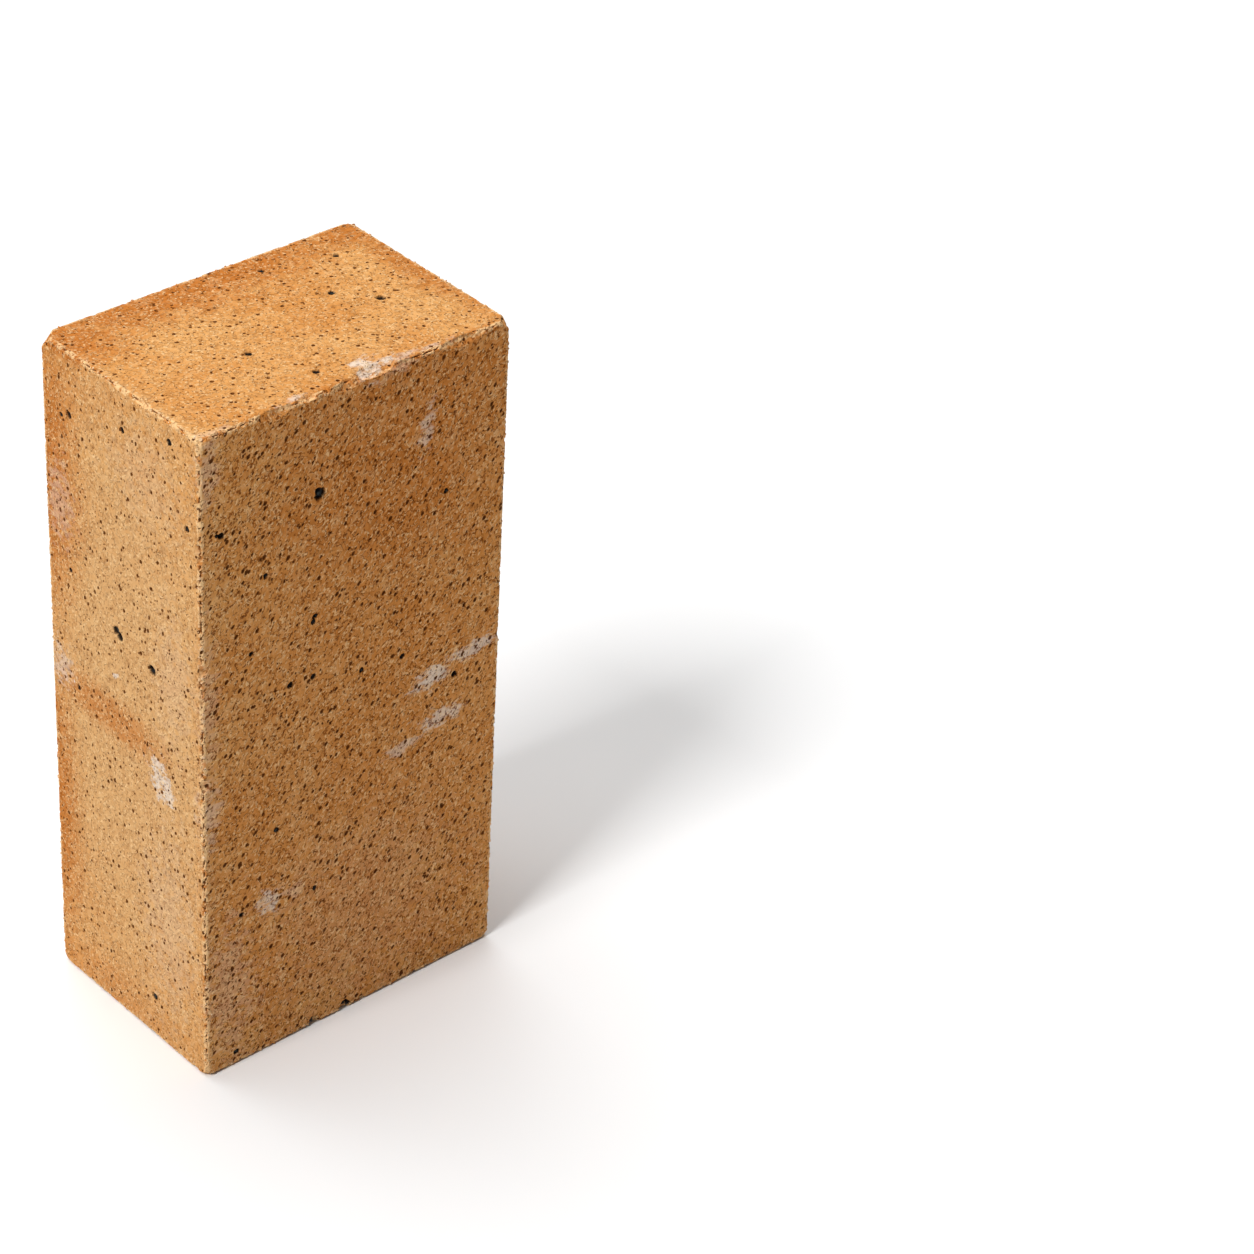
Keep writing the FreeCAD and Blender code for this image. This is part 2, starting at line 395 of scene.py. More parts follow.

# %% [markdown]
# ## The skin of the brick
#
# A pressed clay face is never a plane. It waves by a tenth of a millimetre, it is pitted, and
# along the arrises whole grains have dropped out. One way to model that is sculpting. Another,
# used here, is to describe it once and let Geometry Nodes press it into a dense mesh. The tree
# only ever moves points inwards, so the brick keeps its size. How far a point lies inside each
# pair of faces tells the tree where it is: near an arris, on a face, or in one of the chips.
#
# Two notes are left on every point for the materials: where it was before it moved, and whether
# a grain dropped out there or it lies in a marked hollow, which the material paints dark as shade.
# A pattern read from the first lands on the very points that the same pattern has pressed in, so
# a pore's colour never slides off its hollow.

# %% Build the weathering tree
WAVE_SIZE = 26.0
WAVE_DEPTH = 0.2
GRIT_SIZE = 1.3
GRIT_DEPTH = 0.16
# Crumbs drop all along the first distance from an arris, and ever fewer up to the second.
CRUMB_BAND = (0.3, 1.4)
CRUMB_SIZE = 1.4
CRUMB_DEPTH = 0.9
CRUMB_SHARE = 0.4
CRUMB_LUCK = (1.0, 1.12)
CRUMB_BEND = (1.2, 0.8)
# A place this far below the pressed faces is the broken floor of a chip.
CHIP_FLOOR = (0.25, 0.7)
SHARD_SIZE = 1.5
SHARD_BEND = (0.9, 0.7)
BREAK_DEPTH = 0.5
PORE_DEPTH = 0.55
SKIN_INSET = 0.05
PLACE_NOTE = "place_before_weather"
NICK_SHADE_NOTE = "grain_dropped"


def here(tree):
    """Where each point is, in metres."""
    return add(tree, "GeometryNodeInputPosition").outputs[0]


def carried(tree, name, kind):
    """What each point carries under that name."""
    return add(tree, "GeometryNodeInputNamedAttribute", {"Name": name}, data_type=kind).outputs[0]


def note(tree, geometry, name, value, kind):
    """Writes a value on each point under that name."""
    values = {"Geometry": geometry, "Name": name, "Value": value}
    return add(tree, "GeometryNodeStoreNamedAttribute", values, data_type=kind).outputs[0]


def note_place(tree, geometry):
    """Notes on every point where it is now, in millimetres, for the materials to read."""
    return note(tree, geometry, PLACE_NOTE, scaled(tree, here(tree), 1.0 / MM), "FLOAT_VECTOR")


def inside_faces(tree, place):
    """How far a point lies inside each pair of faces, in millimetres, from metres."""
    middle = [(a + b) / 2 for a, b in zip(low, high)]
    half = [(b - a) / 2 for a, b in zip(low, high)]
    off_middle = vector(tree, "ABSOLUTE", vector(tree, "SUBTRACT", place, middle))
    depth = vector(tree, "SUBTRACT", half, off_middle)
    return add(tree, "ShaderNodeSeparateXYZ", {0: scaled(tree, depth, 1.0 / MM)}).outputs


def beside_arris(tree, place):
    """How far a point is from the nearest arris, in millimetres, from its place in metres."""
    x, y, z = inside_faces(tree, place)
    smaller, larger = calc(tree, "MINIMUM", x, y), calc(tree, "MAXIMUM", x, y)
    return calc(tree, "MAXIMUM", smaller, calc(tree, "MINIMUM", larger, z))


def below_skin(tree, place):
    """How far a point is below the nearest pressed face: more than a little only in a chip."""
    x, y, z = inside_faces(tree, place)
    return calc(tree, "MINIMUM", calc(tree, "MINIMUM", x, y), z)


def crumb_depth(tree, place, position):
    """Where grains dropped from the arrises, and how rough the floors of the chips are."""
    near = ease(tree, beside_arris(tree, position), *CRUMB_BAND, 1.0, 0.0)
    lumps = cells(tree, bent(tree, place, *CRUMB_BEND), CRUMB_SIZE)
    chance = calc(tree, "MULTIPLY_ADD", near, CRUMB_SHARE, luck_of(tree, lumps))
    dropped = calc(tree, "MULTIPLY", ease(tree, chance, *CRUMB_LUCK), near)
    broken = ease(tree, below_skin(tree, position), *CHIP_FLOOR)
    shards = cells(tree, bent(tree, place, *SHARD_BEND), SHARD_SIZE)
    return dropped, calc(tree, "MULTIPLY", luck_of(tree, shards), broken)


def hollow_depth(tree, place, position, marks):
    """How far inside the nearest marked hollow a place is, and how deep, in millimetres."""
    spots = add(tree, "GeometryNodeObjectInfo", {"Object": marks}).outputs["Geometry"]
    nearest = add(tree, "GeometryNodeSampleNearest", {"Geometry": spots, "Sample Position": position})

    def at_nearest(value, kind):
        values = {"Geometry": spots, "Value": value, "Index": nearest.outputs[0]}
        return add(tree, "GeometryNodeSampleIndex", values, data_type=kind).outputs[0]

    radius = at_nearest(carried(tree, "hollow_radius", "FLOAT"), "FLOAT")
    centre = at_nearest(here(tree), "FLOAT_VECTOR")
    ragged = scaled(tree, bent(tree, place, *RAGGED_RIM), MM)
    share = calc(tree, "DIVIDE", vector(tree, "DISTANCE", ragged, centre), radius)
    bowl = ease(tree, share, *BOWL, 1.0, 0.0)
    return bowl, calc(tree, "MULTIPLY", bowl, calc(tree, "DIVIDE", radius, MM))


def weathering_tree():
    """Geometry Nodes that wave, pit and crumble a dense copy of the brick."""
    inputs = {
        "Geometry": ("Geometry", None),
        "Hollow Marks": ("Object", None),
        "Wave Depth": ("Float", WAVE_DEPTH),
        "Grit Depth": ("Float", GRIT_DEPTH),
        "Crumb Depth": ("Float", CRUMB_DEPTH),
        "Break Depth": ("Float", BREAK_DEPTH),
        "Pore Depth": ("Float", PORE_DEPTH),
        "Material": ("Material", None),
    }
    tree, given, result = new_tree("weathering", "GeometryNodeTree", inputs, {"Geometry": "Geometry"})
    position = here(tree)
    place = scaled(tree, position, 1.0 / MM)

    dropped, step = crumb_depth(tree, place, position)
    pore = ease(tree, pore_pattern(tree, place, *LARGE_PORES), 0.0, 0.7)
    pore = calc(tree, "MULTIPLY", pore, given["Pore Depth"])
    bowl, hollow = hollow_depth(tree, place, position, given["Hollow Marks"])

    depth = calc(tree, "ADD", calc(tree, "MAXIMUM", pore, hollow), SKIN_INSET)
    for amount, most in (
        (noise(tree, place, WAVE_SIZE, 1.0), "Wave Depth"),
        (noise(tree, place, GRIT_SIZE, 2.0), "Grit Depth"),
        (dropped, "Crumb Depth"),
        (step, "Break Depth"),
    ):
        depth = calc(tree, "MULTIPLY_ADD", amount, given[most], depth)
    outwards = add(tree, "GeometryNodeInputNormal").outputs[0]
    offset = scaled(tree, outwards, calc(tree, "MULTIPLY", depth, -MM))

    noted = note_place(tree, given["Geometry"])
    noted = note(tree, noted, NICK_SHADE_NOTE, calc(tree, "MAXIMUM", dropped, bowl), "FLOAT")
    moved = add(tree, "GeometryNodeSetPosition", {"Geometry": noted, "Offset": offset})
    solid = add(tree, "GeometryNodeRealizeInstances", {"Geometry": moved.outputs[0]})
    values = {"Geometry": solid.outputs[0], "Material": given["Material"]}
    fill(result[0], add(tree, "GeometryNodeSetMaterial", values).outputs[0])
    return tree


weathering = weathering_tree()
print("weathering tree of", len(weathering.nodes), "nodes")

# %% [markdown]
# ## From a few long triangles to a fine skin
#
# The CAD mesh has long thin triangles, and a tree can only move points that are there. A voxel
# Remesh modifier turns them into an even net first. After the tree has pressed the weather in,
# a Decimate modifier takes back the points that flat parts don't need, and spends the rest on
# pores and broken edges. A copy of the CAD mesh is used, because the CAD objects stay as they
# are, and its doubled corners are merged so that the net closes.

# %% Press the weather into a copy of the brick
NET = 0.42
SKIN_FACES = 195_000


def set_inputs(modifier, values):
    """Sets a Geometry Nodes modifier's inputs, found by name and set by identifier."""
    for item in modifier.node_group.interface.items_tree:
        if item.item_type == "SOCKET" and item.in_out == "INPUT" and item.name in values:
            modifier[item.identifier] = values[item.name]


def plain_mesh(source, name):
    """The evaluated shape of an object as a mesh of its own, with no modifiers left."""
    graph = bpy.context.evaluated_depsgraph_get()
    mesh = bpy.data.meshes.new_from_object(source.evaluated_get(graph), depsgraph=graph)
    mesh.name = name
    return mesh


def merged_copy(node, name):
    """A copy of a CAD node with its loose triangles merged."""
    mesh = frame["nodes"][node].data.copy()
    mesh.materials.clear()
    shape = bmesh.new()
    shape.from_mesh(mesh)
    bmesh.ops.remove_doubles(shape, verts=shape.verts, dist=0.001 * MM)
    shape.to_mesh(mesh)
    shape.free()
    copy = bpy.data.objects.new(name, mesh)
    bpy.context.scene.collection.objects.link(copy)
    return copy


def weather(block, material):
    """Runs the net, the tree and the thinning, and keeps the result as a plain mesh."""
    net = block.modifiers.new("net", "REMESH")
    net.mode = "VOXEL"
    net.voxel_size = NET * MM
    net.adaptivity = 0.0
    pits = block.modifiers.new("weathering", "NODES")
    pits.node_group = weathering
    set_inputs(pits, {"Hollow Marks": marks, "Material": material})
    dense = plain_mesh(block, "dense")
    print("dense net", len(dense.polygons), "faces")
    block.modifiers.clear()
    block.data = dense
    thin = block.modifiers.new("thin", "DECIMATE")
    thin.ratio = SKIN_FACES / (2 * len(dense.polygons))
    thin.use_collapse_triangulate = True
    skin = plain_mesh(block, "brick_skin")
    block.modifiers.clear()
    block.data = skin
    return block


print("net of", NET, "mm, thinned to", SKIN_FACES, "triangles")

# %% [markdown]
# ## The light and the dark of fired clay
#
# Seen close, the clay is a mix of crushed old brick, sand and clay. Broken grains catch the
# light as short pale flecks and the gaps between them stay dark, and here that light and shade
# is painted into the colour. A photo texture could show that, but it would repeat and stretch.
# Here Voronoi cells, bent until their edges are ragged, are the crushed grains: a lucky few are
# pale and a few are dark gaps, partly the grains' own colour and partly painted highlight and
# painted shade. The strokes between them come from one noise that is drawn out along the clay's
# flow. Read it as a hilly map: a thin band at one height is a pale stroke, a painted highlight,
# and a band just below it is a dark one, a painted shadow, so the two run side by side as a lit
# edge and its shadow. It is a node group because the brick, its grains and its slag all need it,
# each at its own size.

# %% Shader group: grain
FLECK_LENGTH = 1.5
STROKE_SIZE = 2.0
# The luck that makes a grain pale or leaves a gap, and how a grain fades towards its rim.
PALE_LUCK = (0.8, 0.95)
GAP_LUCK = (0.2, 0.08)
GRAIN_RIM = (0.65, 0.35)
# The heights of the pale strokes, painted highlights, and of the dark strokes, painted shade, in their
# noise, and how they fade at the sides.
CREST = 0.55
TROUGH = 0.45
STROKE_EDGE = (0.042, 0.012)


def grain_group():
    """Pale flecks and painted highlights, dark gaps and painted shade, and a fine relief, from a place in
    millimetres.
    """
    inputs = {"Vector": ("Vector", None), "Size": ("Float", 1.0)}
    outputs = {"Light": "Float", "Dark": "Float", "Height": "Float"}
    tree, given, result = new_tree("grain", "ShaderNodeTree", inputs, outputs)
    drawn = along_flow(tree, given["Vector"], FLECK_LENGTH)
    own = scaled(tree, drawn, calc(tree, "DIVIDE", 1.0, given["Size"]))
    crushed = cells(tree, bent(tree, own, 0.8, 1.2), 1.0)
    luck = luck_of(tree, crushed)
    core = ease(tree, crushed.outputs["Distance"], *GRAIN_RIM)
    folds = noise(tree, own, STROKE_SIZE, 1.0, 0.6)
    broken = ease(tree, noise(tree, own, 1.4, 1.0), 0.38, 0.6)

    def grains_and_strokes(lucky, height):
        grains = calc(tree, "MULTIPLY", ease(tree, luck, *lucky), core)
        away = calc(tree, "ABSOLUTE", calc(tree, "SUBTRACT", folds, height))
        strokes = calc(tree, "MULTIPLY", ease(tree, away, *STROKE_EDGE), broken)
        return calc(tree, "MAXIMUM", grains, strokes)

    light = grains_and_strokes(PALE_LUCK, CREST)
    dark = grains_and_strokes(GAP_LUCK, TROUGH)
    fill(result["Light"], light)
    fill(result["Dark"], dark)
    relief = calc(tree, "MULTIPLY_ADD", calc(tree, "SUBTRACT", light, dark), 0.35, folds)
    fill(result["Height"], relief)
    return tree


grain = grain_group()
print("grain:", len(grain.nodes), "nodes")

# %% [markdown]
# ## Patches of dust, bloom, ash, painted shade and painted light
#
# Mortar dust, scrapes and the kiln's orange bloom are not spread by chance: each lies where
# something rubbed or where the fire reached. Two of the bloom patches are painted shade
# instead: they darken the whole shaded front face, most towards its top. The one ash patch
# pales the whole lit left face, partly its own paler tone and partly painted light. So each
# gets an entry with its face, its middle, its two half lengths, how it is turned on the face
# and how strong it is. One small group draws any of them. Its Mapping node, set to Texture,
# carries a place into the patch's own frame, where the patch is a ball of radius one. Noise
# that comes in from outside tears its rim.

# %% Shader group: one soft patch
DUST = {
    "smear": (FRONT, 30.5, 114.0, 9, 5.0, 14, 1.0),
    "smear_end": (FRONT, 46.0, 117.6, 13, 3.2, 8, 0.85),
    "wipe": (FRONT, 33.0, 97.5, 11, 4.6, 6, 0.85),
    "wipe_start": (FRONT, 18.5, 92.5, 9, 3.0, 14, 0.6),
    "dab": (FRONT, -32.5, 58.0, 4.6, 6.0, 10, 0.9),
    "dab_end": (FRONT, -24.0, 57.0, 6, 3.0, -8, 0.3),
    "low_haze": (FRONT, -47.0, 30.0, 12, 32, 0, 0.22),
    "foot_haze": (FRONT, 4.0, 38.0, 52, 46, 0, 0.08),
    "rub": (FRONT, 25.8, 205.0, 3.4, 10, -5, 0.65),
    "facet": (FRONT, 13.0, 227.6, 9, 2.6, 6, 0.3),
    "arris_high": (FRONT, -53.5, 219.0, 4.6, 14, 0, 0.3),
    "arris_low": (FRONT, -54.0, 137.0, 4.0, 30, 0, 0.2),
    "below_split": (FRONT, -54.0, 100.0, 4.4, 14, 0, 0.4),
    "patch": (LEFT, -17.4, 101.6, 5.6, 10.0, -33, 1.4),
    "edge_bloom": (LEFT, 31.0, 176.0, 8, 17, 0, 0.35),
    "edge_dust": (LEFT, 33.0, 117.0, 7, 9, 0, 0.6),
    "side_haze_low": (LEFT, -20.0, 48.0, 17, 42, 0, 0.17),
    "side_haze_mid": (LEFT, -24.0, 140.0, 12, 30, 0, 0.14),
    "side_haze_high": (LEFT, -12.0, 205.0, 22, 20, 0, 0.1),
    "streak": (LEFT, 4.3, 128.3, 2.2, 0.9, -28, 1.5),
    "dot": (LEFT, 26.4, 114.3, 0.8, 0.8, 0, 1.5),
    "scrape": (TOP, 7.0, -33.6, 9.0, 4.6, 0, 1.15),
    "scrape_end": (TOP, 19.0, -35.2, 6, 2.2, 4, 0.6),
    "brush": (TOP, -20.5, -35.4, 6, 1.5, 2, 0.8),
    "edge_rub": (TOP, 30.0, -35.4, 7, 1.6, 2, 0.6),
    "corner_rub": (TOP, -50.0, -36.0, 7, 2.2, 2, 0.35),
    "back_smear": ("back", -18.0, 158.0, 15, 4.0, 12, 0.8),
    "back_dab": ("back", 22.0, 70.0, 6, 9.0, 20, 0.6),
    "right_rub": ("right", 8.0, 92.0, 4, 14, 15, 0.6),
}
BLOOM_AND_FRONT_SHADE = {
    "kiln_line": (LEFT, 9.0, 112.0, 44, 11.0, 2, 0.68),
    "left_edge": (LEFT, 39.0, 60.0, 18, 80, 0, 0.85),
    "left_edge_high": (LEFT, 39.0, 185.0, 26, 65, 0, 0.9),
    "left_foot": (LEFT, 10.0, 2.0, 34, 20, 0, 0.3),
    # The two front entries darken the whole shaded front face, most towards its top: painted shade.
    "front_painted_shade": (FRONT, 5.0, 105.0, 110, 190, 0, 0.47),
    "front_high_painted_shade": (FRONT, 15.0, 200.0, 80, 90, 0, 0.75),
    "top_back": (TOP, -6.0, 39.0, 95, 28, 0, 0.95),
    "top_left": (TOP, -54.0, 30.0, 24, 22, 0, 0.9),
    "top_right": (TOP, 58.0, 4.0, 14, 50, 0, 0.8),
    "top_corner": (TOP, 56.0, 36.0, 34, 20, 0, 0.85),
    "back_glow": ("back", 10.0, 120.0, 60, 22, 6, 0.6),
    "right_glow": ("right", 0.0, 150.0, 30, 40, 0, 0.6),
}
ASH_AND_LIT_SIDE = {
    # This patch pales and yellows the whole lit left face: partly the clay's own tone, partly painted
    # light.
    "left_side_tone_and_light": (LEFT, -4.0, 112.0, 75, 190, 0, 0.85),
}
PATCH_THICKNESS = 6.0


def patch_group():
    """The mask of one soft patch: a place in millimetres, and the patch's own measures."""
    inputs = {
        "Vector": ("Vector", None),
        "Middle": ("Vector", None),
        "Turn": ("Vector", None),
        "Reach": ("Vector", (1.0, 1.0, 1.0)),
        "Strength": ("Float", 1.0),
        "Torn": ("Float", 0.0),
    }
    tree, given, result = new_tree("soft_patch", "ShaderNodeTree", inputs, {"Mask": "Float"})
    mapping = {
        "Vector": given["Vector"],
        "Location": given["Middle"],
        "Rotation": given["Turn"],
        "Scale": given["Reach"],
    }
    own = add(tree, "ShaderNodeMapping", mapping, vector_type="TEXTURE").outputs[0]
    inside = calc(tree, "SUBTRACT", 1.0, vector(tree, "LENGTH", own))
    mask = ease(tree, calc(tree, "ADD", inside, given["Torn"]), 0.0, 0.75)
    fill(result["Mask"], calc(tree, "MULTIPLY", mask, given["Strength"]))
    return tree


soft_patch = patch_group()
print("patches to place:", len(DUST), "of dust,", len(BLOOM_AND_FRONT_SHADE), "of bloom and", len(ASH_AND_LIT_SIDE), "of ash")

# %% [markdown]
# ## Three families of patches
#
# Dust is torn and streaky, bloom and ash are soft, so each family is one group with noise of
# its own. The noise is made once for the whole family, and every patch in it is cheap. Where
# two patches overlap the stronger one shows, so a long smear can be made of two short ones.

# %% Shader groups: dust, bloom and ash
STREAK_SIZE = 2.6
STREAK_STRETCH = (0.6, 0.8, 1.1)


def group(tree, kind, inputs):
    """Places a shader group and fills its inputs."""
    node = add(tree, "ShaderNodeGroup", node_tree=kind)
    for name, value in inputs.items():
        fill(node.inputs[name], value)
    return node


def place_patch(tree, place, torn, face, a, b, half_a, half_b, turn, strength):
    """Puts one patch on a face of the brick."""
    middle = on_face(face, a, b) / MM
    tilt = math.radians(turn)
    if face in (FRONT, "back"):
        reach, turned = (half_a, PATCH_THICKNESS, half_b), (0, -tilt, 0)
    elif face in (LEFT, "right"):
        reach, turned = (PATCH_THICKNESS, half_a, half_b), (tilt, 0, 0)
    else:
        reach, turned = (half_a, half_b, PATCH_THICKNESS), (0, 0, tilt)
    inputs = {
        "Vector": place,
        "Middle": middle,
        "Turn": turned,
        "Reach": reach,
        "Strength": strength,
        "Torn": torn,
    }
    return group(tree, soft_patch, inputs).outputs[0]


def patches_group(name, patches, ragged):
    """The strongest of several patches at a place in millimetres."""
    inputs = {"Vector": ("Vector", None)}
    tree, given, result = new_tree(name, "ShaderNodeTree", inputs, {"Mask": "Float"})
    place = given[0]
    streaks = noise(tree, vector(tree, "MULTIPLY", place, STREAK_STRETCH), STREAK_SIZE, 3.0, 0.65)
    torn = calc(tree, "MULTIPLY", calc(tree, "SUBTRACT", streaks, 0.5), 3.0 * ragged)
    strongest = 0.0
    for patch in patches.values():
        strongest = calc(tree, "MAXIMUM", strongest, place_patch(tree, place, torn, *patch))
    fill(result[0], strongest)
    return tree


dust = patches_group("dust", DUST, 1.1)
bloom = patches_group("bloom", BLOOM_AND_FRONT_SHADE, 0.35)
ash = patches_group("ash", ASH_AND_LIT_SIDE, 0.3)
print("the three groups hold", len(dust.nodes) + len(bloom.nodes) + len(ash.nodes), "nodes")

# %% [markdown]
# ## The slag in the hollows
#
# The iron that melted in the marked hollows stained their walls black. The mask for it comes
# from the same list of hollows as the shape does: for each one, how deep inside its radius a
# place lies. The places are bent first, by the same amount as in the weathering tree, and so
# the stain has the same ragged rim as the hollow.

# %% Shader group: slag


def slag_group(spots):
    """The mask of the slag at a place in millimetres."""
    inputs = {"Vector": ("Vector", None)}
    tree, given, result = new_tree("slag", "ShaderNodeTree", inputs, {"Mask": "Float"})
    ragged = bent(tree, given[0], *RAGGED_RIM)
    deepest = -1.0
    for spot, face, radius in spots:
        away = vector(tree, "DISTANCE", ragged, spot / MM)
        deepest = calc(tree, "MAXIMUM", deepest, calc(tree, "MULTIPLY_ADD", away, -1.0 / radius, 1.0))
    fill(result[0], ease(tree, deepest, 0.02, 0.3))
    return tree


slag = slag_group(with_iron)
print("slag:", len(slag.nodes), "nodes")

# %% [markdown]
# ## The colour of the clay
#
# Iron in the clay gives the warm tan, more of it and more fire give orange. The colour drifts
# slowly over the brick, with clouds a few centimetres wide inside clouds of a few millimetres.
# The whole lit left side is paler, partly its own tone and partly painted light, the whole shaded
# front face is darker and more orange as painted shade, and dust lies over it all.

# %% Shader group: the clay's colour with its ash, bloom and dust
PALE_CLAY = (0.72, 0.355, 0.115, 1)
WARM_CLAY = (0.65, 0.275, 0.072, 1)
ASHEN_AND_LIT_CLAY = (0.67, 0.385, 0.165, 1)
BLOOM_AND_SHADE_CLAY = (0.53, 0.170, 0.030, 1)
DUST_COLOUR = (0.80, 0.69, 0.58, 1)
DUST_SHARE = 0.8
CLOUD_SIZE = 26.0


def blend_colours(tree, share, first, second):
    """Mixes two colours by a share from 0 to 1."""
    node = add(tree, "ShaderNodeMix", data_type="RGBA")
    for index, value in ((0, share), (6, first), (7, second)):
        fill(node.inputs[index], value)
    return node.outputs[2]


def clay_colour_group():
    """The colour of the clay body at a place in millimetres, under its pale left side, partly painted
    light, its kiln orange and the front's painted shade, and its dust.
    """
    inputs = {
        "Vector": ("Vector", None),
        "Pale": ("Color", PALE_CLAY),
        "Warm": ("Color", WARM_CLAY),
        "Ashen": ("Color", ASHEN_AND_LIT_CLAY),
    }
    tree, given, result = new_tree("clay_colour", "ShaderNodeTree", inputs, {"Color": "Color"})
    place = given["Vector"]
    drift = ease(tree, noise(tree, place, CLOUD_SIZE, 3.0, 0.6), 0.34, 0.66)
    colour = blend_colours(tree, drift, given["Pale"], given["Warm"])
    bleached_and_lit = group(tree, ash, {"Vector": place}).outputs[0]
    colour = blend_colours(tree, bleached_and_lit, colour, given["Ashen"])
    bloom_and_shade_mask = group(tree, bloom, {"Vector": place}).outputs[0]
    colour = blend_colours(tree, bloom_and_shade_mask, colour, BLOOM_AND_SHADE_CLAY)
    powder = calc(tree, "MINIMUM", group(tree, dust, {"Vector": place}).outputs[0], 1.0)
    colour = blend_colours(tree, calc(tree, "MULTIPLY", powder, DUST_SHARE), colour, DUST_COLOUR)
    fill(result["Color"], colour)
    return tree


clay_colour = clay_colour_group()
print("clay colour:", len(clay_colour.nodes), "nodes")

# %% [markdown]
# ## Fired clay
#
# The brick's own material is open and matt. The body colour comes first, then soft mottling and
# the worn rims: an arris that is rubbed down shows its pale grog, and one that has just lost a
# crumb is orange inside; the pale band is partly a painted highlight along the arris. Then come
# the grain, whose pale and dark strokes are partly painted highlight and painted shade, with more
# dark strokes on the two bed faces as painted shade, and last the pores. The same pore pattern
# that shaped the skin colours it dark, partly as stain and partly as painted shade in the hollow,
# read from the place that each point noted before it was pressed in, and a second, finer one
# paints the pinholes that are too small to model, partly stain and partly painted shade. Where
# grains dropped from an arris and in the marked hollows, the clay is painted darker as shade.
# Every layer is a tint that covers what lies under it by a share of its own. A Bump node turns
# the grain's height into relief that catches the light on the shaded faces.

# %% Material: fired clay
# The fleck colour is partly pale grog and partly painted highlight; the gap colour is partly dark gaps and
# partly painted shade.
FLECK_AND_HIGHLIGHT = (0.94, 0.63, 0.32, 1)
GAP_AND_SHADE = (0.19, 0.045, 0.003, 1)
# The pinhole and pore colours are partly iron stain and partly painted shade at the bottom of the holes.
PINHOLE_STAIN_AND_SHADE = (0.16, 0.045, 0.008, 1)
PORE_STAIN_AND_SHADE = (0.12, 0.034, 0.006, 1)
SLAG = (0.014, 0.011, 0.010, 1)
FRESH_BREAK = (0.66, 0.22, 0.035, 1)
# How strongly each layer covers what lies under it.
SHARE = {
    "pale mottling": 0.2,
    "dark mottling": 0.22,
    "worn rim and highlight": 0.7,
    "fresh break": 0.55,
    "flecks": 0.62,
    "gaps": 0.37,
    "more gaps as painted shade on the beds": 0.46,
    "pinholes": 0.85,
    "pores": 0.95,
    "painted shade in nicks": 0.8,
    "slag": 0.97,
}
MOTTLE_SIZE = 2.8
GRAIN_SIZE = 0.75
GRAIN_RELIEF = 0.34
# A worn rim reaches this far from its arris, less what its noise takes off, and fades over this.
WORN_BAND = 2.5
WORN_BEND = 1.4
WORN_FADE = 0.7
# Noise of this size chooses where a rim is rubbed pale, partly as a painted highlight, and where it is
# freshly broken.
RIM_KIND_SIZE = 3.2
RUBBED_AND_HIGHLIT = (0.42, 0.52)
BROKEN = (0.45, 0.36)


def new_material(name):
    """A material with its Principled BSDF, and its place in millimetres as the points carry it."""
    material = bpy.data.materials.new(name)
    material.use_nodes = True
    tree = material.node_tree
    place = add(tree, "ShaderNodeAttribute", attribute_name=PLACE_NOTE).outputs["Vector"]
    return material, tree, tree.nodes["Principled BSDF"], place


def add_relief(tree, shader, height, depth, strength):
    """Bends the light by a height from 0 to 1 that stands for a depth in millimetres."""
    inputs = {"Height": height, "Distance": depth * MM, "Strength": strength}
    fill(shader.inputs["Normal"], add(tree, "ShaderNodeBump", inputs).outputs[0])


def tint(tree, colour, mask, share, over):
    """Lays a colour over another where a mask is, no stronger than that share."""
    return blend_colours(tree, calc(tree, "MULTIPLY", mask, share), colour, over)


def worn_and_highlit_rims(tree, colour, place):
    """Pale where an arris is rubbed down to its grog, partly a painted highlight along the arris, orange
    where a crumb has just gone.
    """
    beside = beside_arris(tree, scaled(tree, place, MM))
    away = calc(tree, "MULTIPLY_ADD", noise(tree, place, 0.9, 1.0), WORN_BEND, beside)
    band = ease(tree, away, WORN_BAND, WORN_BAND - WORN_FADE)
    kind = noise(tree, place, RIM_KIND_SIZE, 2.0)
    pale = calc(tree, "MULTIPLY", band, ease(tree, kind, *RUBBED_AND_HIGHLIT))
    fresh = calc(tree, "MULTIPLY", band, ease(tree, kind, *BROKEN))
    colour = tint(tree, colour, pale, SHARE["worn rim and highlight"], FLECK_AND_HIGHLIGHT)
    return tint(tree, colour, fresh, SHARE["fresh break"], FRESH_BREAK)


